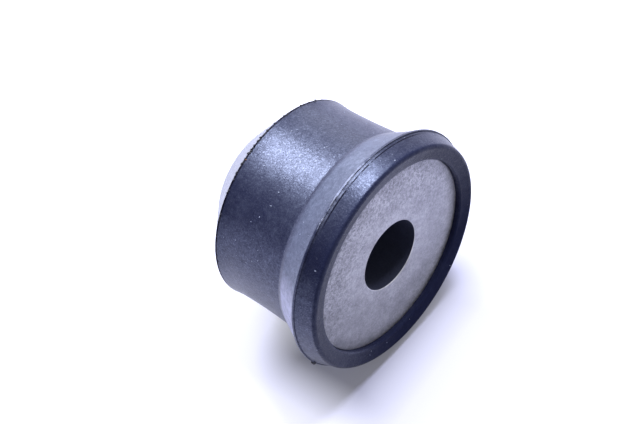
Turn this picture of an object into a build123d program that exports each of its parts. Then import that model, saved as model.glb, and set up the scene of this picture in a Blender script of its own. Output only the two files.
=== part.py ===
from build123d import *

import os

# Bonded rubber and metal bush: a flanged steel sleeve moulded into a rubber body.
# It stands on the small end of the sleeve, on the Z axis. Sizes are in millimetres.

os.makedirs("parts", exist_ok=True)

# Steel sleeve: a round plate and a tube, turned in one piece
bolt_diameter = 10.0
bolt_clearance = 0.4
tube_wall = 1.7
sleeve_length = 24.0
plate_radius = 14.25
plate_thickness = 2.0
plate_edge_break = 0.1
plate_root_chamfer = 0.6
bore_edge_chamfer = 0.1
tube_end_chamfer = 0.4

# Rubber nose and barrel, measured up from the small end and down from the plate's face
sleeve_stand_out = 0.4
nose_land = 1.5
nose_edge_chamfer = 0.5
back_edge_height = 6.0
back_edge_flare = 0.2
waist_radius = 14.65
waist_height = 8.6
barrel_hollow = 0.1
neck_flare = 0.33
neck_drop = 6.45
neck_fillet = 0.6

# Rubber flange, with the flash that the two halves of the mould leave on its edge
rim_width = 2.2
rim_stand_out = 1.2
rim_round = 0.55
lip_stand_out = 0.75
lip_chamfer = 0.15
flange_flare = 0.85
flange_drop = 1.8
flash_width = 0.3
flash_stand_out = 0.15

bore_radius = (bolt_diameter + bolt_clearance) / 2
tube_radius = bore_radius + tube_wall
wall_middle_radius = bore_radius + tube_wall / 2
plate_back = sleeve_length - plate_thickness
plate_middle_height = sleeve_length - plate_thickness / 2
nose_radius = tube_radius + nose_land
back_edge_radius = waist_radius + back_edge_flare
flare_middle_radius = waist_radius + back_edge_flare / 4
flare_middle_height = (back_edge_height + waist_height) / 2
neck_radius = waist_radius + neck_flare
neck_height = sleeve_length - neck_drop
barrel_middle_radius = (waist_radius + neck_radius) / 2 - barrel_hollow
barrel_middle_height = (waist_height + neck_height) / 2
rim_radius = plate_radius + rim_width
rim_height = sleeve_length + rim_stand_out
lip_height = sleeve_length + lip_stand_out
flange_radius = rim_radius + flange_flare
flange_height = sleeve_length - flange_drop
flash_radius = flange_radius + flash_stand_out


def corner(radius, height):
    """The sketch vertex nearest to a radius and a height."""
    return vertices().sort_by_distance((radius, height))[0]


# The sleeve is the turned section of the plate, the tube and the root between them
with BuildPart() as steel_sleeve:
    with BuildSketch(Plane.XZ):
        with BuildLine():
            Polyline(
                (bore_radius, 0),
                (tube_radius, 0),
                (tube_radius, plate_back),
                (plate_radius, plate_back),
                (plate_radius, sleeve_length),
                (bore_radius, sleeve_length),
                close=True,
            )
        make_face()
        chamfer(corner(tube_radius, plate_back), plate_root_chamfer)
        chamfer(corner(bore_radius, sleeve_length), bore_edge_chamfer)
        chamfer(corner(plate_radius, sleeve_length), plate_edge_break)
        chamfer(corner(plate_radius, plate_back), plate_edge_break)
        chamfer(corner(tube_radius, 0), tube_end_chamfer)
        chamfer(corner(bore_radius, 0), tube_end_chamfer)
    revolve(axis=Axis.Z)
steel_sleeve.part.label = "steel_sleeve"

# The rubber is moulded round the sleeve: its outside is one turned form, and the
# sleeve's own surface is what it is bonded to
with BuildPart() as rubber_body:
    with BuildSketch(Plane.XZ):
        with BuildLine():
            nose = Polyline(
                (wall_middle_radius, sleeve_stand_out),
                (nose_radius, sleeve_stand_out),
                (back_edge_radius, back_edge_height),
            )
            flare = ThreePointArc(
                nose @ 1,
                (flare_middle_radius, flare_middle_height),
                (waist_radius, waist_height),
            )
            barrel = ThreePointArc(
                flare @ 1,
                (barrel_middle_radius, barrel_middle_height),
                (neck_radius, neck_height),
            )
            Polyline(
                barrel @ 1,
                (flange_radius, flange_height - flash_width / 2),
                (flash_radius, flange_height - flash_width / 2),
                (flash_radius, flange_height + flash_width / 2),
                (flange_radius, flange_height + flash_width / 2),
                (rim_radius, rim_height),
                (plate_radius, lip_height),
                (plate_radius, plate_middle_height),
                (wall_middle_radius, plate_middle_height),
                nose @ 0,
            )
        make_face()
        chamfer(corner(nose_radius, sleeve_stand_out), nose_edge_chamfer)
        fillet(corner(neck_radius, neck_height), neck_fillet)
        fillet(corner(rim_radius, rim_height), rim_round)
        chamfer(corner(plate_radius, lip_height), lip_chamfer)
    revolve(axis=Axis.Z)
    add(steel_sleeve.part, mode=Mode.SUBTRACT)
rubber_body.part.label = "rubber_body"

export_step(steel_sleeve.part, "parts/steel_sleeve.step")
export_step(rubber_body.part, "parts/rubber_body.step")
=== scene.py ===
import math
import random

import bmesh
import bpy
from mathutils import Matrix, Vector, noise
from mathutils.bvhtree import BVHTree


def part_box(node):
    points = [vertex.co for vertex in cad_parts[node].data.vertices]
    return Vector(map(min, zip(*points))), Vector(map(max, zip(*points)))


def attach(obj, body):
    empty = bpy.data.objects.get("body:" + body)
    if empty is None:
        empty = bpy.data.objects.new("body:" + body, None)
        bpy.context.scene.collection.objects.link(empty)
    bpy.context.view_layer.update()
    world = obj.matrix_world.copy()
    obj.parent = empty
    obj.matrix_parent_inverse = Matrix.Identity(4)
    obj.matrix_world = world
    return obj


bl_info = {
    "name": "Bonded Bush",
    "version": (1, 0, 0),
    "blender": (4, 5, 0),
    "location": "View3D > Sidebar > Bush",
    "description": "Dresses a flanged rubber and metal bush and sets up its studio",
    "category": "Object",
}

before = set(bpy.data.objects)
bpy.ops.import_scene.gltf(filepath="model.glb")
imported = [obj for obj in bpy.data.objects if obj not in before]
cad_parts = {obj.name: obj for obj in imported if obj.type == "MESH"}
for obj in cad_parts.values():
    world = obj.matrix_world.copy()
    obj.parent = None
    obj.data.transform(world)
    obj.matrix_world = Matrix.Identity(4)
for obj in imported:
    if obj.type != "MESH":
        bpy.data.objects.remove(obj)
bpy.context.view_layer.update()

MM = 0.001
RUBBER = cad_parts["rubber_body"]
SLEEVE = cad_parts["steel_sleeve"]

# Main sizes of the solids, in metres
FLASH_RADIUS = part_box("rubber_body")[1].x
PLATE_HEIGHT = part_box("steel_sleeve")[1].z
FLANGE_HEIGHT = PLATE_HEIGHT - 1.8 * MM
FRONT_CONE_HEIGHT = FLANGE_HEIGHT + 1.5 * MM
NECK_HEIGHT = 17.55 * MM
BACK_EDGE_RADIUS = 14.85 * MM
BACK_EDGE_HEIGHT = 6.0 * MM
BORE_RADIUS = 5.2 * MM

# Where marks lie round the bush, in degrees of turn: the middle of a sector, its half
# width and the soft edge beyond it
BLOOM_SECTOR = (111, 89, 16)
DUST_AND_REFLECTION_SECTOR = (125, 9, 14)
WORN_AND_LIT_SECTOR = (54, 8, 14)
SCUFFED_AND_LIT_SECTOR = (95, 65, 8)
CRACK_SHADE_SECTOR = (39, 29, 10)
SHINY_SECTOR = (100, 64, 34)
COARSE_SECTOR = (55, 55, 50)
# Direction, in degrees of turn, of the painted shade on the rim's reflection
RIM_SHADE_TURN = -110
# Direction, in degrees of turn, of the painted shade on the steel plate
PLATE_SHADE_TURN = 215

# The frame of the picture, in pixels
PICTURE_WIDTH = 640
PICTURE_HEIGHT = 424

# From the bush's middle, in metres
LAMP_DISTANCE = 0.6
CARD_DISTANCE = 0.5


# ---------------------------------------------------------------- settings


class BUSH_PG_rubber(bpy.types.PropertyGroup):
    """Colour and surface of the moulded rubber."""

    colour: bpy.props.FloatVectorProperty(
        name="Rubber colour",
        description="Colour of the clean rubber",
        subtype="COLOR",
        size=3,
        min=0,
        max=1,
        default=(0.014, 0.016, 0.042),
    )
    bloom_colour: bpy.props.FloatVectorProperty(
        name="Bloom colour",
        description="Colour of the pale bloom and dust that lies on the rubber",
        subtype="COLOR",
        size=3,
        min=0,
        max=1,
        default=(0.16, 0.185, 0.27),
    )
    # Pale dust on the flange's back, partly a painted reflection of the paper
    dust_and_reflection_colour: bpy.props.FloatVectorProperty(
        name="Dust colour",
        description="Colour of the pale dust at the lower side of the flange's back",
        subtype="COLOR",
        size=3,
        min=0,
        max=1,
        default=(0.40, 0.40, 0.56),
    )
    roughness: bpy.props.FloatProperty(
        name="Rubber roughness",
        description="Roughness of the moulded skin",
        min=0,
        max=1,
        subtype="FACTOR",
        default=0.33,
    )
    grain: bpy.props.FloatProperty(
        name="Skin grain",
        description="Distance between the grains of the moulded skin",
        unit="LENGTH",
        min=0.00005,
        max=0.002,
        default=0.30 * MM,
    )
    # The flash's pale colour is partly scuffing, partly a painted highlight
    flash_and_highlight_colour: bpy.props.FloatVectorProperty(
        name="Flash colour",
        description="Colour of the scuffed parting flash on the flange's edge",
        subtype="COLOR",
        size=3,
        min=0,
        max=1,
        default=(0.27, 0.29, 0.40),
    )


class BUSH_PG_steel(bpy.types.PropertyGroup):
    """Colour and surface of the blasted steel."""

    colour: bpy.props.FloatVectorProperty(
        name="Steel colour",
        description="Colour of the blasted steel",
        subtype="COLOR",
        size=3,
        min=0,
        max=1,
        default=(0.315, 0.312, 0.330),
    )
    roughness: bpy.props.FloatProperty(
        name="Steel roughness",
        description="Roughness of the blasted steel",
        min=0,
        max=1,
        subtype="FACTOR",
        default=0.5,
    )
    grain: bpy.props.FloatProperty(
        name="Blasting grain",
        description="Distance between the pits that blasting left",
        unit="LENGTH",
        min=0.00005,
        max=0.002,
        default=0.42 * MM,
    )
    bore_colour: bpy.props.FloatVectorProperty(
        name="Bore colour",
        description="Colour of the dark scale inside the bore",
        subtype="COLOR",
        size=3,
        min=0,
        max=1,
        default=(0.020, 0.022, 0.044),
    )


class BUSH_PG_dirt(bpy.types.PropertyGroup):
    """Dust, crumbs and the torn flash."""

    dust_density: bpy.props.FloatProperty(
        name="Dust density",
        description="Scattered specks on each square metre of the rubber's outside",
        min=0,
        max=1000000,
        default=120000,
    )
    dust_size: bpy.props.FloatProperty(
        name="Dust size",
        description="Half width of a full-size speck of dust",
        unit="LENGTH",
        min=0.00001,
        max=0.001,
        default=0.125 * MM,
    )
    crumb_size: bpy.props.FloatProperty(
        name="Crumb size",
        description="Half width of a full-size crumb of torn rubber",
        unit="LENGTH",
        min=0.00001,
        max=0.001,
        default=0.18 * MM,
    )
    crumbs: bpy.props.IntProperty(
        name="Crumbs",
        description="Number of scattered crumbs along the back edge",
        min=0,
        max=400,
        default=64,
    )
    flash_reach: bpy.props.FloatProperty(
        name="Flash reach",
        description="How far the torn flash stands out from the flange's edge",
        unit="LENGTH",
        min=0,
        max=0.001,
        default=0.34 * MM,
    )
    seed: bpy.props.IntProperty(
        name="Seed",
        description="Seed of all that is scattered",
        min=0,
        max=10000,
        default=11,
    )


class BUSH_PG_studio(bpy.types.PropertyGroup):
    """Camera, lamps and backdrop."""

    camera_turn: bpy.props.FloatProperty(
        name="Camera turn",
        description="Direction that the camera stands in, round the bush",
        subtype="ANGLE",
        unit="ROTATION",
        default=math.radians(70),
    )
    camera_tilt: bpy.props.FloatProperty(
        name="Camera tilt",
        description="Angle between the bush's axis and the line to the camera",
        subtype="ANGLE",
        unit="ROTATION",
        default=math.radians(59.8),
    )
    camera_roll: bpy.props.FloatProperty(
        name="Camera roll",
        description="Angle that the bush's axis makes below the picture's horizontal",
        subtype="ANGLE",
        unit="ROTATION",
        default=math.radians(29.6),
    )
    camera_distance: bpy.props.FloatProperty(
        name="Camera distance",
        description="Depth of the middle of the plate's face in front of the lens",
        unit="LENGTH",
        default=212.4 * MM,
    )
    focal_pixels: bpy.props.FloatProperty(
        name="Focal length in pixels",
        description="Focal length, in pixels of the picture",
        min=100,
        default=1597,
    )
    plate_column: bpy.props.FloatProperty(
        name="Plate column",
        description="Picture column of the middle of the plate's face",
        default=390.3,
    )
    plate_row: bpy.props.FloatProperty(
        name="Plate row",
        description="Picture row of the middle of the plate's face",
        default=255.4,
    )
    paper_turn: bpy.props.FloatProperty(
        name="Paper turn",
        description="How far round from the camera the paper's face looks",
        subtype="ANGLE",
        unit="ROTATION",
        default=math.radians(-30.2),
    )
    # The paper's least glow sets how dark its painted shadow is
    paper_glow_in_painted_shadow: bpy.props.FloatProperty(
        name="Paper glow",
        description="Least glow of the paper where the bush's shadow lies",
        min=0,
        max=1,
        default=0.14,
    )
    key_power: bpy.props.FloatProperty(
        name="Key strength",
        description="Radiance of the small soft lamp above the plate",
        min=0,
        default=62.0,
    )
    side_power: bpy.props.FloatProperty(
        name="Side strength",
        description="Radiance of the broad lamp above the barrel",
        min=0,
        default=19.0,
    )
    rear_power: bpy.props.FloatProperty(
        name="Rear strength",
        description="Radiance of the broad lamp above and behind the bush",
        min=0,
        default=1.7,
    )
    far_power: bpy.props.FloatProperty(
        name="Far strength",
        description="Radiance of the broad lamp that lights the far half of the bush",
        min=0,
        default=12.0,
    )
    fill_strength: bpy.props.FloatProperty(
        name="Fill strength",
        description="Strength of the even light from the surroundings",
        min=0,
        default=0.35,
    )


def settings():
    """The add-on's settings in this scene."""
    return bpy.context.scene.bush_settings


# ---------------------------------------------------------------- node helpers


class Nodes:
    """Adds and joins shader nodes in one material or world."""

    def __init__(self, tree):
        self.tree = tree
        tree.nodes.clear()

    def add(self, kind, **values):
        node = self.tree.nodes.new("ShaderNode" + kind)
        for name, value in values.items():
            setattr(node, name, value)
        return node

    def join(self, source, target):
        self.tree.links.new(source, target)

    def noise(self, place, size, detail=2.0, roughness=0.5, distortion=0.0):
        """A noise value that changes over about the given distance."""
        node = self.add("TexNoise", noise_dimensions="3D")
        node.inputs["Scale"].default_value = 1 / size
        node.inputs["Detail"].default_value = detail
        node.inputs["Roughness"].default_value = roughness
        node.inputs["Distortion"].default_value = distortion
        self.join(place, node.inputs["Vector"])
        return node.outputs["Fac"]

    def spread(self, source, low, high, to_low=0.0, to_high=1.0):
        """The source, stretched from one range to another and clamped."""
        node = self.add("MapRange", clamp=True)
        node.inputs["From Min"].default_value = low
        node.inputs["From Max"].default_value = high
        node.inputs["To Min"].default_value = to_low
        node.inputs["To Max"].default_value = to_high
        self.join(source, node.inputs["Value"])
        return node.outputs["Result"]

    def maths(self, operation, first, second=0):
        """One Math node on one or two sockets or numbers."""
        node = self.add("Math", operation=operation)
        for socket, value in zip(node.inputs, (first, second)):
            if isinstance(value, (int, float)):
                socket.default_value = value
            else:
                self.join(value, socket)
        return node.outputs[0]

    def band(self, source, low, high, soft):
        """1 between two values, falling to 0 over a soft edge on each side."""
        rise = self.spread(source, low - soft, low)
        fall = self.spread(source, high, high + soft, 1, 0)
        return self.product(rise, fall)

    def product(self, first, *others):
        """Sockets or numbers multiplied in order."""
        for other in others:
            first = self.maths("MULTIPLY", first, other)
        return first

    def reach(self, place, direction):
        """How far the place lies along a direction."""
        node = self.add("VectorMath", operation="DOT_PRODUCT")
        self.join(place, node.inputs[0])
        node.inputs[1].default_value = direction
        return node.outputs["Value"]

    def sector(self, place, radius, middle, half, soft):
        """1 up to an angle either side of a turn, in degrees, falling to 0 beyond it."""
        ahead = self.reach(place, around(math.radians(middle)))
        share = self.maths("DIVIDE", ahead, radius)
        off = self.maths("DEGREES", self.maths("ARCCOSINE", share))
        return self.spread(off, half, half + soft, 1, 0)

    def seen(self):
        """1 for the rays that show a surface: from the camera, mirrored or let through."""
        rays = self.add("LightPath")
        straight = self.maths("MAXIMUM", rays.outputs["Is Camera Ray"], rays.outputs["Is Glossy Ray"])
        return self.maths("MAXIMUM", straight, rays.outputs["Is Transmission Ray"])

    def blend(self, amount, first, second):
        """A colour between two colours or sockets."""
        node = self.add("Mix", data_type="RGBA")
        factor, from_colour, to_colour = node.inputs[0], node.inputs[6], node.inputs[7]
        for socket, value in ((factor, amount), (from_colour, first), (to_colour, second)):
            if hasattr(value, "links"):
                self.join(value, socket)
            elif isinstance(value, (int, float)):
                socket.default_value = value
            else:
                socket.default_value = (*value[:3], 1)
        return node.outputs[2]


def new_material(name):
    """An empty material and the means to add its nodes."""
    material = bpy.data.materials.new(name)
    material.use_nodes = True
    return material, Nodes(material.node_tree)


def dress(obj, *materials):
    """Gives a piece its materials in place of the ones it had."""
    obj.data.materials.clear()
    for material in materials:
        obj.data.materials.append(material)


def around(turn):
    """Level unit vector in a direction, where 0 is -Y and a quarter turn is +X."""
    return Vector((math.sin(turn), -math.cos(turn), 0))


# ---------------------------------------------------------------- materials


def parts_of_place(n):
    """Object coordinates, distance from the axis and height."""
    place = n.add("TexCoord").outputs["Object"]
    split = n.add("SeparateXYZ")
    n.join(place, split.inputs[0])
    across = n.product(split.outputs[0], split.outputs[0])
    along = n.product(split.outputs[1], split.outputs[1])
    radius = n.maths("SQRT", n.maths("ADD", across, along))
    return place, radius, split.outputs[2]


def bump(n, height, distance, below=None):
    """A surface normal raised by a height, on top of another normal."""
    node = n.add("Bump")
    node.inputs["Strength"].default_value = 1.0
    node.inputs["Distance"].default_value = distance
    n.join(height, node.inputs["Height"])
    if below is not None:
        n.join(below, node.inputs["Normal"])
    return node.outputs[0]


def rubber_material():
    """Black moulded rubber: fine skin grain, shallow waves, bloom, a pale flash line that is partly a
    painted highlight, and painted shade along a crack, the back edge and the rim's reflection.
    """
    look = settings().rubber
    material, n = new_material("moulded_rubber")
    place, radius, height = parts_of_place(n)
    shader = n.add("BsdfPrincipled")
    n.join(shader.outputs[0], n.add("OutputMaterial").inputs[0])
    grain = n.noise(place, look.grain, detail=3, roughness=0.7, distortion=0.6)
    cloud = n.noise(place, 5 * MM, detail=4, roughness=0.6)
    fleck = n.noise(place, 0.8 * MM, detail=3, roughness=0.65)
    tatter = n.noise(place, 1.6 * MM, detail=4, roughness=0.7)
    cone = n.product(
        n.band(height, NECK_HEIGHT + 0.9 * MM, FLANGE_HEIGHT - 0.6 * MM, 0.6 * MM),
        n.sector(place, radius, *BLOOM_SECTOR),
    )
    # The flash line is painted pale on the upper side, with gaps: partly scuffed flash, partly a painted
    # highlight on its edge
    worn_and_lit = n.spread(n.sector(place, radius, *WORN_AND_LIT_SECTOR), 0, 1, 0.06, 0.62)
    worn_and_lit = n.product(worn_and_lit, n.sector(place, radius, *SCUFFED_AND_LIT_SECTOR))
    edge = n.band(height, FLANGE_HEIGHT - 0.15 * MM, FLANGE_HEIGHT + 0.36 * MM, 0.06 * MM)
    scuff_and_highlight = n.product(edge, worn_and_lit, n.spread(tatter, 0.42, 0.56))
    # Painted shade: a dark line beside the flash stands for the shade in a crack, and a dark band along
    # the torn back edge for the shade under its lip
    crack_shade = n.product(
        n.band(height, FLANGE_HEIGHT + 0.48 * MM, FLANGE_HEIGHT + 0.58 * MM, 0.05 * MM),
        n.sector(place, radius, *CRACK_SHADE_SECTOR),
        n.spread(tatter, 0.36, 0.46),
    )
    back_edge_shade = n.product(
        n.band(height, BACK_EDGE_HEIGHT - 0.05 * MM, BACK_EDGE_HEIGHT + 0.22 * MM, 0.10 * MM),
        n.spread(fleck, 0.3, 0.5, 0.5, 1.0),
    )
    crack_and_edge_shade = n.maths("MAXIMUM", crack_shade, back_edge_shade)
    # A pale bloom clings to the back cone of the flange, and thinly elsewhere
    patches = n.product(
        n.spread(cloud, 0.35, 0.72),
        n.spread(fleck, 0.35, 0.7),
        n.spread(height, FRONT_CONE_HEIGHT, PLATE_HEIGHT + 0.7 * MM, 1, 0.3),
    )
    bloom = n.maths("ADD", n.product(patches, 0.18), n.product(cone, 0.30))
    bloom = n.product(bloom, n.spread(fleck, 0.3, 0.7, 0.7, 1.3))
    colour = n.blend(bloom, look.colour, look.bloom_colour)
    # The lower side of that cone is painted paler: partly thicker dust, partly a painted reflection of
    # the paper
    dust_and_reflection = n.product(
        cone,
        n.sector(place, radius, *DUST_AND_REFLECTION_SECTOR),
        n.spread(fleck, 0.25, 0.7, 0.45, 1.0),
    )
    colour = n.blend(dust_and_reflection, colour, look.dust_and_reflection_colour)
    # The pale flash line, partly a painted highlight, and the painted shade of the crack and back edge
    colour = n.blend(scuff_and_highlight, colour, look.flash_and_highlight_colour)
    colour = n.blend(crack_and_edge_shade, colour, (0.006, 0.006, 0.014))
    # The crest of the rim is a little bluer
    crown = n.spread(height, FRONT_CONE_HEIGHT, PLATE_HEIGHT + 0.8 * MM, 0, 0.3)
    colour = n.blend(crown, colour, (0.014, 0.019, 0.060))
    n.join(colour, shader.inputs["Base Color"])
    # Bloom and the pale flash line are duller than the clean skin
    rough = n.spread(cloud, 0.3, 0.7, look.roughness - 0.03, look.roughness + 0.05)
    rough = n.maths("ADD", rough, n.product(cone, 0.14))
    rough = n.maths("ADD", rough, n.product(scuff_and_highlight, 0.2))
    n.join(rough, shader.inputs["Roughness"])
    # The skin shines in flecks and fine glints, less on the far side, on the crest and where the crack
    # and back edge are painted dark, and hardly at all on the rim's lower side, where this painted shade
    # dims the rim's reflection
    rim = n.spread(height, FLANGE_HEIGHT, FRONT_CONE_HEIGHT)
    lower = n.reach(place, around(math.radians(RIM_SHADE_TURN)))
    rim_reflection_shade = n.product(rim, n.spread(lower, 3 * MM, 13 * MM))
    glint = n.noise(place, 0.17 * MM, detail=1, distortion=0.8)
    shine = n.product(
        n.spread(grain, 0.36, 0.64, 0.34, 0.66),
        n.spread(fleck, 0.32, 0.68, 0.85, 1.15),
        n.spread(rim_reflection_shade, 0, 1, 1, 0.12),
        n.spread(glint, 0.50, 0.68, 1.0, 2.1),
        n.spread(crack_and_edge_shade, 0, 1, 1, 0.1),
        n.spread(height, PLATE_HEIGHT + 0.55 * MM, PLATE_HEIGHT + 0.85 * MM, 1, 0.3),
        n.spread(n.sector(place, radius, *SHINY_SECTOR), 0, 1, 0.45, 1.0),
    )
    n.join(shine, shader.inputs["Specular IOR Level"])
    shader.inputs["IOR"].default_value = 1.55
    shader.inputs["Specular Tint"].default_value = (0.62, 0.70, 1.0, 1)
    waves = n.noise(place, 2.6 * MM, detail=2, roughness=0.5)
    normal = bump(n, waves, 0.028 * MM)
    normal = bump(n, fleck, 0.012 * MM, normal)
    normal = bump(n, grain, 0.026 * MM, normal)
    n.join(normal, shader.inputs["Normal"])
    return material


def steel_material():
    """Grey blasted steel: fine pits, slow tone, painted shade toward the plate's lower far side and
    edge, bright bore edge and dark bore.
    """
    look = settings().steel
    material, n = new_material("blasted_steel")
    place, radius, _ = parts_of_place(n)
    shader = n.add("BsdfPrincipled")
    n.join(shader.outputs[0], n.add("OutputMaterial").inputs[0])
    grain = n.noise(place, look.grain, detail=3, roughness=0.7, distortion=0.8)
    cloud = n.noise(place, 3 * MM, detail=4, roughness=0.65)
    pits = n.noise(place, 0.16 * MM, detail=2, roughness=0.6)
    # The blasting is coarser toward the upper outside of the plate
    coarse = n.product(n.spread(radius, 5 * MM, 13 * MM), n.sector(place, radius, *COARSE_SECTOR))
    swing = n.spread(grain, 0.36, 0.64, -0.36, 0.36)
    swing = n.product(swing, n.spread(coarse, 0, 1, 0.55, 1.35))
    tone = n.product(
        n.maths("ADD", swing, 1),
        n.spread(cloud, 0.3, 0.7, 0.78, 1.20),
        n.spread(pits, 0.3, 0.7, 0.90, 1.10),
    )
    # Painted shade: the plate is darker toward its lower far side, where it mirrors the bush's shadow on
    # the paper, and toward its edge inside the rim's lip; it is brighter toward the bore
    slope = n.reach(place, around(math.radians(PLATE_SHADE_TURN)))
    plate_shade = n.product(
        n.spread(slope, -6 * MM, 15 * MM, 1.0, 0.84),
        n.spread(radius, 6 * MM, 10.5 * MM, 1.2, 1.0),
    )
    tone = n.product(tone, plate_shade, n.spread(radius, 12.2 * MM, 14.0 * MM, 1.0, 0.75))
    shade = n.add("Mix", data_type="RGBA", blend_type="MULTIPLY")
    shade.inputs[0].default_value = 1
    shade.inputs[6].default_value = (*look.colour, 1)
    n.join(tone, shade.inputs[7])
    # The bore keeps its dark scale, and its turned edge is bright
    inside = n.spread(radius, BORE_RADIUS + 0.01 * MM, BORE_RADIUS + 0.03 * MM, 1, 0)
    ring = n.product(
        n.band(radius, BORE_RADIUS + 0.02 * MM, BORE_RADIUS + 0.10 * MM, 0.02 * MM),
        n.spread(cloud, 0.35, 0.65, 0.1, 0.55),
    )
    colour = n.blend(ring, shade.outputs[2], (0.80, 0.80, 0.86))
    colour = n.blend(inside, colour, look.bore_colour)
    n.join(colour, shader.inputs["Base Color"])
    n.join(n.spread(inside, 0, 1, 0.92, 0.0), shader.inputs["Metallic"])
    shader.inputs["Specular Tint"].default_value = (0.70, 0.76, 1.0, 1)
    rough = n.spread(grain, 0.3, 0.7, look.roughness - 0.1, look.roughness + 0.1)
    rough = n.maths("ADD", rough, n.product(inside, 0.25))
    n.join(rough, shader.inputs["Roughness"])
    normal = bump(n, grain, 0.050 * MM)
    normal = bump(n, pits, 0.010 * MM, normal)
    n.join(normal, shader.inputs["Normal"])
    return material


def speck_material(name, colour, spread, roughness):
    """Matt lint or crumbs whose tone differs from grain to grain."""
    material, n = new_material(name)
    place = n.add("TexCoord").outputs["Object"]
    shader = n.add("BsdfPrincipled")
    n.join(shader.outputs[0], n.add("OutputMaterial").inputs[0])
    tone = n.noise(place, 1.2 * MM, detail=3, roughness=0.7)
    low = [c * (1 - spread) for c in colour]
    high = [min(1, c * (1 + spread)) for c in colour]
    n.join(n.blend(n.spread(tone, 0.35, 0.65), low, high), shader.inputs["Base Color"])
    fine = n.noise(place, 0.1 * MM, detail=2)
    n.join(n.spread(fine, 0.3, 0.7, roughness - 0.1, roughness + 0.1), shader.inputs["Roughness"])
    n.join(bump(n, fine, 0.01 * MM), shader.inputs["Normal"])
    return material


def one_sided(n, surface, hidden):
    """Shows a surface except where hidden is 1, where all passes through."""
    side = n.add("MixShader")
    n.join(hidden, side.inputs[0])
    n.join(surface, side.inputs[1])
    n.join(n.add("BsdfTransparent").outputs[0], side.inputs[2])
    n.join(side.outputs[0], n.add("OutputMaterial").inputs[0])


def paper_material(studio, touch, side, along):
    """White paper with a painted shadow: it glows brighter away from the bush, and it doesn't block what
    is behind it.
    """
    material, n = new_material("studio_paper")
    place = n.add("TexCoord").outputs["Object"]
    paper = n.add("BsdfDiffuse")
    paper.inputs["Color"].default_value = (0.365, 0.365, 0.50, 1)
    # Painted shadow: the paper glows least in a patch where the bush's shadow lies, a little aslant of
    # the bush
    slant = 0.106
    half_length = 11.9 * MM
    half_width = 4.8 * MM
    middle = touch - side * 0.6 * MM - along * 3.0 * MM
    length = side * math.cos(slant) + along * math.sin(slant)
    width = along * math.cos(slant) - side * math.sin(slant)
    squares = []
    for direction, half in ((length, half_length), (width, half_width)):
        offset = n.maths("SUBTRACT", n.reach(place, direction), middle.dot(direction))
        beyond = n.maths("SUBTRACT", n.maths("ABSOLUTE", offset), half)
        beyond = n.maths("MAXIMUM", beyond, 0)
        squares.append(n.product(beyond, beyond))
    past_painted_shadow = n.maths("SQRT", n.maths("ADD", *squares))
    # The glow rises fast beside the painted shadow's patch, then slowly
    near = 7 * MM
    far = 20 * MM
    glow_past_painted_shadow = n.spread(past_painted_shadow, 0, near, studio.paper_glow_in_painted_shadow, 0.645)
    glow_past_painted_shadow = n.maths("ADD", glow_past_painted_shadow, n.spread(past_painted_shadow, near, far, 0, 0.25))
    light = n.add("Emission")
    light.inputs["Color"].default_value = (0.89, 0.90, 1, 1)
    n.join(n.product(n.seen(), glow_past_painted_shadow), light.inputs["Strength"])
    both = n.add("AddShader")
    n.join(paper.outputs[0], both.inputs[0])
    n.join(light.outputs[0], both.inputs[1])
    behind = n.add("NewGeometry").outputs["Backfacing"]
    shadow = n.add("LightPath").outputs["Is Shadow Ray"]
    one_sided(n, both.outputs[0], n.maths("MAXIMUM", behind, shadow))
    return material


def card_material():
    """Dull black card that keeps light off one side and shows nothing from behind."""
    material, n = new_material("black_card")
    card = n.add("BsdfDiffuse")
    card.inputs["Color"].default_value = (0.012, 0.012, 0.014, 1)
    one_sided(n, card.outputs[0], n.add("NewGeometry").outputs["Backfacing"])
    return material


# ---------------------------------------------------------------- small pieces


def on_rubber(turn, height):
    """Place and facing of the rubber's outside at a turn in degrees and a height in mm."""
    mesh = RUBBER.data
    tree = BVHTree.FromPolygons([v.co for v in mesh.vertices], [p.vertices for p in mesh.polygons])
    out = around(math.radians(turn))
    start = out * 50 * MM + Vector((0, 0, height * MM))
    place, facing = tree.ray_cast(start, -out)[:2]
    if place is None:
        raise RuntimeError("no rubber at turn %.1f, height %.2f" % (turn, height))
    return place, facing


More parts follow.
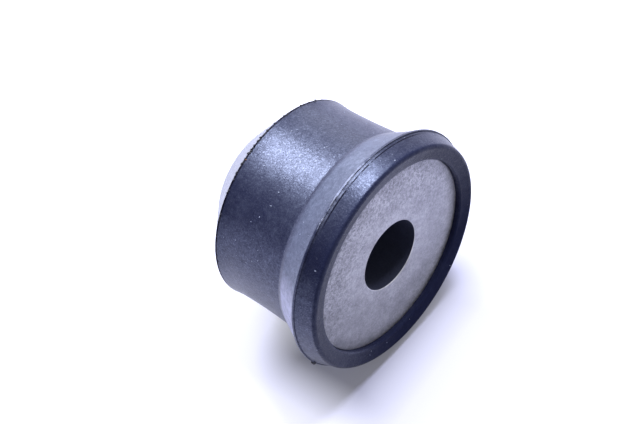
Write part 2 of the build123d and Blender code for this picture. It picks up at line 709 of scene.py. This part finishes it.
def lump_group():
    """Geometry nodes that set a lump on each given point and on scattered points."""
    tree = bpy.data.node_groups.new("set_lumps", "GeometryNodeTree")
    face = tree.interface
    face.new_socket("Points", in_out="INPUT", socket_type="NodeSocketGeometry")
    inputs = {
        "Surface": "Object",
        "Density": "Float",
        "Size": "Float",
        "Flatness": "Float",
        "Detail": "Int",
        "Seed": "Int",
        "Material": "Material",
    }
    for name, kind in inputs.items():
        face.new_socket(name, in_out="INPUT", socket_type="NodeSocket" + kind)
    face.new_socket("Lumps", in_out="OUTPUT", socket_type="NodeSocketGeometry")
    join = tree.links.new

    def add(kind, **values):
        node = tree.nodes.new(kind)
        for name, value in values.items():
            setattr(node, name, value)
        return node

    def put(source, node, name):
        """Joins or sets the shown socket of that name."""
        socket = [i for i in node.inputs if i.name == name and i.enabled][0]
        if hasattr(source, "links"):
            join(source, socket)
        else:
            socket.default_value = source

    def maths(operation, first, second):
        node = add("ShaderNodeMath", operation=operation)
        for socket, value in zip(node.inputs, (first, second)):
            if hasattr(value, "links"):
                join(value, socket)
            else:
                socket.default_value = value
        return node.outputs[0]

    def random_value(low, high, seed):
        node = add("FunctionNodeRandomValue", data_type="FLOAT")
        node.inputs[2].default_value = low
        node.inputs[3].default_value = high
        node.inputs["Seed"].default_value = seed
        return node.outputs[1]

    given = add("NodeGroupInput").outputs
    # Scattered points lie on the barrel, the flange and the nose cone, not inside
    place = add("GeometryNodeInputPosition").outputs[0]
    flat = add("ShaderNodeVectorMath", operation="MULTIPLY")
    join(place, flat.inputs[0])
    flat.inputs[1].default_value = (1, 1, 0)
    length = add("ShaderNodeVectorMath", operation="LENGTH")
    join(flat.outputs[0], length.inputs[0])
    radius = length.outputs["Value"]
    split = add("ShaderNodeSeparateXYZ")
    join(place, split.inputs[0])
    height = split.outputs[2]
    just_under_barrel = 14.4 * MM
    small_end_radius = 7.6 * MM
    outer = maths("GREATER_THAN", radius, just_under_barrel)
    nose = maths("GREATER_THAN", radius, small_end_radius)
    low = maths("LESS_THAN", height, BACK_EDGE_HEIGHT)
    outside = maths("MAXIMUM", outer, maths("MULTIPLY", nose, low))
    # No speck lies on the crest, where it would stand out of the bush's own height
    below_crest = maths("LESS_THAN", height, PLATE_HEIGHT + 0.95 * MM)
    outside = maths("MULTIPLY", outside, below_crest)
    surface = add("GeometryNodeObjectInfo")
    put(given["Surface"], surface, "Object")
    strew = add("GeometryNodeDistributePointsOnFaces", distribute_method="RANDOM")
    put(surface.outputs["Geometry"], strew, "Mesh")
    put(outside, strew, "Selection")
    put(given["Density"], strew, "Density")
    put(given["Seed"], strew, "Seed")
    lie = add("GeometryNodeStoreNamedAttribute", data_type="FLOAT_VECTOR", domain="POINT")
    put("lie", lie, "Name")
    put(strew.outputs["Points"], lie, "Geometry")
    put(strew.outputs["Normal"], lie, "Value")
    size = add("GeometryNodeStoreNamedAttribute", data_type="FLOAT", domain="POINT")
    put("size", size, "Name")
    put(lie.outputs[0], size, "Geometry")
    put(maths("POWER", random_value(0.45, 1.0, 3), 2.6), size, "Value")
    # The given points carry the same two values
    marks = add("GeometryNodeMeshToPoints")
    put(given["Points"], marks, "Mesh")
    both = add("GeometryNodeJoinGeometry")
    join(marks.outputs[0], both.inputs[0])
    join(size.outputs[0], both.inputs[0])
    # The lump: a ball pushed out of shape
    ball = add("GeometryNodeMeshIcoSphere")
    put(given["Detail"], ball, "Subdivisions")
    bend = add("ShaderNodeTexNoise")
    bend.inputs["Scale"].default_value = 1.3
    shift = add("ShaderNodeVectorMath", operation="SUBTRACT")
    join(bend.outputs["Color"], shift.inputs[0])
    shift.inputs[1].default_value = (0.5, 0.5, 0.5)
    push = add("ShaderNodeVectorMath", operation="SCALE")
    join(shift.outputs[0], push.inputs[0])
    put(1.1, push, "Scale")
    lump = add("GeometryNodeSetPosition")
    put(ball.outputs["Mesh"], lump, "Geometry")
    put(push.outputs[0], lump, "Offset")
    # Each lump lies flat on the surface, turned at random
    facing = add("GeometryNodeInputNamedAttribute", data_type="FLOAT_VECTOR")
    put("lie", facing, "Name")
    align = add("FunctionNodeAlignRotationToVector", axis="Z")
    put(facing.outputs[0], align, "Vector")
    spin = add("ShaderNodeCombineXYZ")
    full_turn = 6.28
    put(random_value(0, full_turn, 5), spin, "Z")
    euler = add("FunctionNodeEulerToRotation")
    join(spin.outputs[0], euler.inputs[0])
    turned = add("FunctionNodeRotateRotation", rotation_space="LOCAL")
    put(align.outputs[0], turned, "Rotation")
    put(euler.outputs[0], turned, "Rotate By")
    scale = add("GeometryNodeInputNamedAttribute", data_type="FLOAT")
    put("size", scale, "Name")
    wide = maths("MULTIPLY", scale.outputs[0], given["Size"])
    sides = add("ShaderNodeCombineXYZ")
    put(wide, sides, "X")
    put(maths("MULTIPLY", wide, random_value(0.55, 1.0, 8)), sides, "Y")
    put(maths("MULTIPLY", wide, given["Flatness"]), sides, "Z")
    strewn = add("GeometryNodeInstanceOnPoints")
    put(both.outputs[0], strewn, "Points")
    put(lump.outputs[0], strewn, "Instance")
    put(turned.outputs[0], strewn, "Rotation")
    put(sides.outputs[0], strewn, "Scale")
    real = add("GeometryNodeRealizeInstances")
    join(strewn.outputs[0], real.inputs[0])
    dressed = add("GeometryNodeSetMaterial")
    put(real.outputs[0], dressed, "Geometry")
    put(given["Material"], dressed, "Material")
    join(dressed.outputs[0], add("NodeGroupOutput").inputs[0])
    return tree


def set_lumps(name, spots, **values):
    """Lumps on the given spots, each a turn, a height and a share of the full size."""
    group = bpy.data.node_groups.get("set_lumps") or lump_group()
    found = [on_rubber(turn, height) for turn, height, share in spots]
    mesh = bpy.data.meshes.new(name + "_points")
    mesh.from_pydata([tuple(place) for place, facing in found], [], [])
    mesh.attributes.new("lie", "FLOAT_VECTOR", "POINT")
    mesh.attributes.new("size", "FLOAT", "POINT")
    for i, (place, facing) in enumerate(found):
        mesh.attributes["lie"].data[i].vector = facing
        mesh.attributes["size"].data[i].value = spots[i][2]
    piece = bpy.data.objects.new(name, mesh)
    bpy.context.scene.collection.objects.link(piece)
    modifier = piece.modifiers.new("lumps", "NODES")
    modifier.node_group = group
    for socket in group.interface.items_tree:
        if socket.in_out == "INPUT" and socket.name in values:
            modifier[socket.identifier] = values[socket.name]
    piece.update_tag()
    graph = bpy.context.evaluated_depsgraph_get()
    plain = bpy.data.meshes.new_from_object(piece.evaluated_get(graph))
    for attribute in ("lie", "size"):
        if attribute in plain.attributes:
            plain.attributes.remove(plain.attributes[attribute])
    piece.modifiers.clear()
    piece.data = plain
    plain.name = name
    plain.polygons.foreach_set("use_smooth", [True] * len(plain.polygons))
    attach(piece, "root")


def sweep(name, rings, material):
    """A closed body through rings that have the same number of points."""
    count = len(rings[0])
    points = [tuple(p) for ring in rings for p in ring]
    faces = []
    for i in range(len(rings) - 1):
        for j in range(count):
            k = (j + 1) % count
            faces.append((i * count + j, i * count + k, (i + 1) * count + k, (i + 1) * count + j))
    faces.append(tuple(range(count)))
    faces.append(tuple((len(rings) - 1) * count + j for j in range(count)))
    mesh = bpy.data.meshes.new(name)
    mesh.from_pydata(points, [], faces)
    work = bmesh.new()
    work.from_mesh(mesh)
    bmesh.ops.recalc_face_normals(work, faces=work.faces)
    work.to_mesh(mesh)
    work.free()
    piece = bpy.data.objects.new(name, mesh)
    bpy.context.scene.collection.objects.link(piece)
    dress(piece, material)
    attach(piece, "root")


def torn_edge(turn, first, last, pace, seed):
    """How far a torn fin stands out at a turn, from 0 to 1: none at either end."""
    middle = (turn - first) / (last - first)
    swell = min(1, 4 * middle, 4 * (1 - middle))
    slow = noise.noise(Vector((turn / pace, seed, 0)))
    fast = noise.noise(Vector((turn / pace * 3.7, seed, 5)))
    return max(0.0, swell * min(1, 0.42 + 0.9 * slow + 0.6 * fast))


def ring_point(turn, radius, height):
    """A point at a turn in degrees, a radius and a height."""
    return around(math.radians(turn)) * radius + Vector((0, 0, height))


# ---------------------------------------------------------------- studio


def flat_piece(name, points, facing):
    """A flat face through the points, turned to face a direction."""
    mesh = bpy.data.meshes.new(name)
    mesh.from_pydata([tuple(p) for p in points], [], [list(range(len(points)))])
    mesh.update()
    if mesh.polygons[0].normal.dot(facing) < 0:
        mesh.flip_normals()
    piece = bpy.data.objects.new(name, mesh)
    bpy.context.scene.collection.objects.link(piece)
    return piece


def make_paper(studio):
    """One large flat sheet that the flange's edge and the back edge rest on."""
    rise = FLANGE_HEIGHT - BACK_EDGE_HEIGHT
    lean = math.atan2(FLASH_RADIUS - BACK_EDGE_RADIUS, rise)
    level = around(studio.camera_turn + studio.paper_turn)
    normal = math.cos(lean) * level + math.sin(lean) * Vector((0, 0, 1))
    side = Vector((0, 0, 1)).cross(level)
    along = normal.cross(side)
    touch = Vector((0, 0, FLANGE_HEIGHT)) - level * FLASH_RADIUS
    reach = 1.6
    corners = [(-1, -1), (1, -1), (1, 1), (-1, 1)]
    points = [touch + side * a * reach + along * b * reach for a, b in corners]
    sheet = flat_piece("paper", points, normal)
    dress(sheet, paper_material(studio, touch, side, along))


def make_card(direction, distance, radius):
    """A round black card, out of the camera's sight, that faces the bush."""
    direction = direction.normalized()
    across = direction.orthogonal().normalized()
    other = direction.cross(across)
    middle = Vector((0, 0, PLATE_HEIGHT / 2)) + direction * distance
    corners = 48
    points = []
    for i in range(corners):
        turn = 2 * math.pi * i / corners
        points.append(middle + (across * math.cos(turn) + other * math.sin(turn)) * radius)
    card = flat_piece("black_card", points, -direction)
    card.visible_camera = False
    dress(card, card_material())


def make_camera(studio):
    """A long lens that looks along the bush's side onto the plate."""
    lens_side = around(studio.camera_turn)
    tilt = studio.camera_tilt
    back = lens_side * math.sin(tilt) + Vector((0, 0, math.cos(tilt)))
    axis_up = (Vector((0, 0, 1)) - back * back.z).normalized()
    axis_right = axis_up.cross(back)
    roll = studio.camera_roll
    right = axis_up * math.cos(roll) - axis_right * math.sin(roll)
    up = back.cross(right)
    depth = studio.camera_distance
    across = (studio.plate_column - PICTURE_WIDTH / 2) * depth / studio.focal_pixels
    down = (studio.plate_row - PICTURE_HEIGHT / 2) * depth / studio.focal_pixels
    plate = Vector((0, 0, PLATE_HEIGHT))
    data = bpy.data.cameras.new("camera")
    data.sensor_width = 36
    data.lens = studio.focal_pixels / PICTURE_WIDTH * data.sensor_width
    data.clip_start = 0.01
    data.clip_end = 20
    camera = bpy.data.objects.new("camera", data)
    basis = Matrix((right, up, back)).transposed().to_4x4()
    basis.translation = plate - right * across + up * down + back * depth
    camera.matrix_world = basis
    bpy.context.scene.collection.objects.link(camera)
    bpy.context.scene.camera = camera
    return right, up, back


def make_lamp(name, direction, size, radiance):
    """A round soft lamp that faces the bush, with a set radiance."""
    data = bpy.data.lights.new(name, "AREA")
    data.shape = "DISK"
    data.size = size
    area = math.pi * size * size / 4
    data.energy = radiance * area * math.pi
    data.color = (0.90, 0.93, 1.0)
    lamp = bpy.data.objects.new(name, data)
    centre = Vector((0, 0, PLATE_HEIGHT / 2))
    place = Matrix.Translation(centre + direction.normalized() * LAMP_DISTANCE)
    lamp.matrix_world = place @ direction.to_track_quat("Z", "Y").to_matrix().to_4x4()
    bpy.context.scene.collection.objects.link(lamp)


# ---------------------------------------------------------------- operators


class BUSH_OT_rubber(bpy.types.Operator):
    """Gives the moulded body its rubber finish."""

    bl_idname = "bush.rubber"
    bl_label = "Rubber body"

    def execute(self, context):
        dress(RUBBER, rubber_material())
        return {"FINISHED"}


class BUSH_OT_steel(bpy.types.Operator):
    """Gives the flanged sleeve its blasted finish."""

    bl_idname = "bush.steel"
    bl_label = "Steel sleeve"

    def execute(self, context):
        dress(SLEEVE, steel_material())
        return {"FINISHED"}


class BUSH_OT_dust(bpy.types.Operator):
    """Sets specks of pale dust on the rubber."""

    bl_idname = "bush.dust"
    bl_label = "Dust specks"

    def execute(self, context):
        dirt = settings().dirt
        # The plainest specks have a set place: turn in degrees and height in mm
        places = ((30, 24.5), (38, 8.7), (44, 12.9), (62, 9.0), (78, 13.0), (92, 24.0))
        share = 1.2
        spots = [(turn, height, share) for turn, height in places]
        set_lumps(
            "dust_specks",
            spots,
            Surface=RUBBER,
            Density=dirt.dust_density,
            Size=dirt.dust_size,
            Flatness=0.4,
            Detail=1,
            Seed=dirt.seed,
            Material=speck_material("pale_dust", (0.29, 0.32, 0.44), 0.4, 0.85),
        )
        return {"FINISHED"}


class BUSH_OT_crumbs(bpy.types.Operator):
    """Sets crumbs of torn rubber on the edges, with one grain of rust."""

    bl_idname = "bush.crumbs"
    bl_label = "Edge crumbs"

    def execute(self, context):
        dirt = settings().dirt
        pick = random.Random(dirt.seed)
        spots = []
        back_edge = 6.0
        for _ in range(dirt.crumbs):
            turn = pick.triangular(-10, 130, 50)
            height = pick.uniform(back_edge, back_edge + 0.2)
            spots.append((turn, height, pick.uniform(0.35, 1.0)))
        # The worst of the torn edge, and a tab of flash low on the flange
        turns = (50, 52.5, 55.5, 58, 60.5, 45, 67, 72)
        shares = (1.1, 1.0, 1.2, 0.9, 1.1, 1.0, 0.9, 1.0)
        spots += [(turn, back_edge, share) for turn, share in zip(turns, shares)]
        spots.append((158, 22.2, 2.2))
        none_scattered = {"Surface": RUBBER, "Density": 0.0, "Seed": dirt.seed}
        set_lumps(
            "edge_crumbs",
            spots,
            Size=dirt.crumb_size,
            Flatness=0.7,
            Detail=2,
            Material=speck_material("black_crumbs", (0.016, 0.016, 0.030), 0.4, 0.6),
            **none_scattered,
        )
        set_lumps(
            "rust_grain",
            [(64, 6.25, 1.0)],
            Size=0.12 * MM,
            Flatness=0.6,
            Detail=2,
            Material=speck_material("rust_grain", (0.20, 0.075, 0.030), 0.4, 0.9),
            **none_scattered,
        )
        return {"FINISHED"}


class BUSH_OT_flash(bpy.types.Operator):
    """Makes the torn fin of flash on the flange's edge."""

    bl_idname = "bush.flash"
    bl_label = "Torn flash"

    def execute(self, context):
        dirt = settings().dirt
        # The fin's pale colour is partly scuffing, partly a painted highlight
        pale = speck_material("torn_flash", settings().rubber.flash_and_highlight_colour, 0.35, 0.7)
        first, last = 34.0, 84.0
        steps = 400
        root = FLASH_RADIUS - 0.25 * MM
        rings = []
        for i in range(steps + 1):
            turn = first + (last - first) * i / steps
            reach = torn_edge(turn, first, last, pace=5.0, seed=2.0) * dirt.flash_reach
            tip = FLASH_RADIUS - 0.12 * MM + reach
            waver = noise.noise(Vector((turn / 3, 9, 0)))
            height = FLANGE_HEIGHT + 0.08 * MM + 0.05 * MM * waver
            thick = 0.03 * MM + reach * 0.25
            rings.append(
                [
                    ring_point(turn, root, height - thick),
                    ring_point(turn, tip, height - thick * 0.4),
                    ring_point(turn, tip, height + thick * 0.4),
                    ring_point(turn, root, height + thick),
                ]
            )
        sweep("torn_flash", rings, pale)
        return {"FINISHED"}


class BUSH_OT_studio(bpy.types.Operator):
    """Makes the camera, the paper, the lamps and the surroundings."""

    bl_idname = "bush.studio"
    bl_label = "Studio"

    def execute(self, context):
        studio = settings().studio
        right, up, back = make_camera(studio)
        make_paper(studio)
        key = right * 0.11 + up * 0.77 + back * 0.63
        side = -right * 0.47 + up * 0.84 + back * 0.27
        rear = up * 0.95 - back * 0.30
        far = -right * 0.5 + up * 0.35 - back * 0.8
        make_lamp("key_lamp", key, 0.150, studio.key_power)
        make_lamp("side_lamp", side, 0.330, studio.side_power)
        make_lamp("far_lamp", far, 0.500, studio.far_power)
        make_lamp("rear_lamp", rear, 0.360, studio.rear_power)
        make_card(-right * 0.70 - up * 0.45 + back * 0.55, CARD_DISTANCE, 0.54)
        world = bpy.data.worlds.new("surroundings")
        world.use_nodes = True
        n = Nodes(world.node_tree)
        light = n.add("Background")
        light.inputs["Color"].default_value = (1, 1, 1, 1)
        n.join(n.spread(n.seen(), 0, 1, studio.fill_strength, 1.0), light.inputs["Strength"])
        n.join(light.outputs[0], n.add("OutputWorld").inputs[0])
        context.scene.world = world
        context.scene.view_settings.view_transform = "Standard"
        return {"FINISHED"}


# ---------------------------------------------------------------- add-on


class BUSH_PG_settings(bpy.types.PropertyGroup):
    """All the settings of the bush and its studio."""

    rubber: bpy.props.PointerProperty(type=BUSH_PG_rubber, name="Rubber", description="Rubber finish")
    steel: bpy.props.PointerProperty(type=BUSH_PG_steel, name="Steel", description="Steel finish")
    dirt: bpy.props.PointerProperty(type=BUSH_PG_dirt, name="Dirt", description="Dust, crumbs and flash")
    studio: bpy.props.PointerProperty(type=BUSH_PG_studio, name="Studio", description="Camera and lamps")


class BUSH_PT_panel(bpy.types.Panel):
    """Lists the bush's pieces and its studio."""

    bl_idname = "BUSH_PT_panel"
    bl_label = "Bonded Bush"
    bl_space_type = "VIEW_3D"
    bl_region_type = "UI"
    bl_category = "Bush"

    def draw(self, context):
        for operator in OPERATORS:
            self.layout.operator(operator.bl_idname)
        for group in (settings().rubber, settings().steel, settings().dirt, settings().studio):
            box = self.layout.box()
            for name in group.__annotations__:
                box.prop(group, name)


OPERATORS = (
    BUSH_OT_rubber,
    BUSH_OT_steel,
    BUSH_OT_dust,
    BUSH_OT_crumbs,
    BUSH_OT_flash,
    BUSH_OT_studio,
)
CLASSES = (
    BUSH_PG_rubber,
    BUSH_PG_steel,
    BUSH_PG_dirt,
    BUSH_PG_studio,
    BUSH_PG_settings,
    *OPERATORS,
    BUSH_PT_panel,
)


def register():
    for cls in CLASSES:
        bpy.utils.register_class(cls)
    bpy.types.Scene.bush_settings = bpy.props.PointerProperty(
        type=BUSH_PG_settings, name="Bush", description="Settings of the bush"
    )


def unregister():
    del bpy.types.Scene.bush_settings
    for cls in reversed(CLASSES):
        bpy.utils.unregister_class(cls)


def main():
    register()
    bpy.ops.bush.rubber()
    bpy.ops.bush.steel()
    bpy.ops.bush.dust()
    bpy.ops.bush.crumbs()
    bpy.ops.bush.flash()
    bpy.ops.bush.studio()


if __name__ == "__main__":
    main()
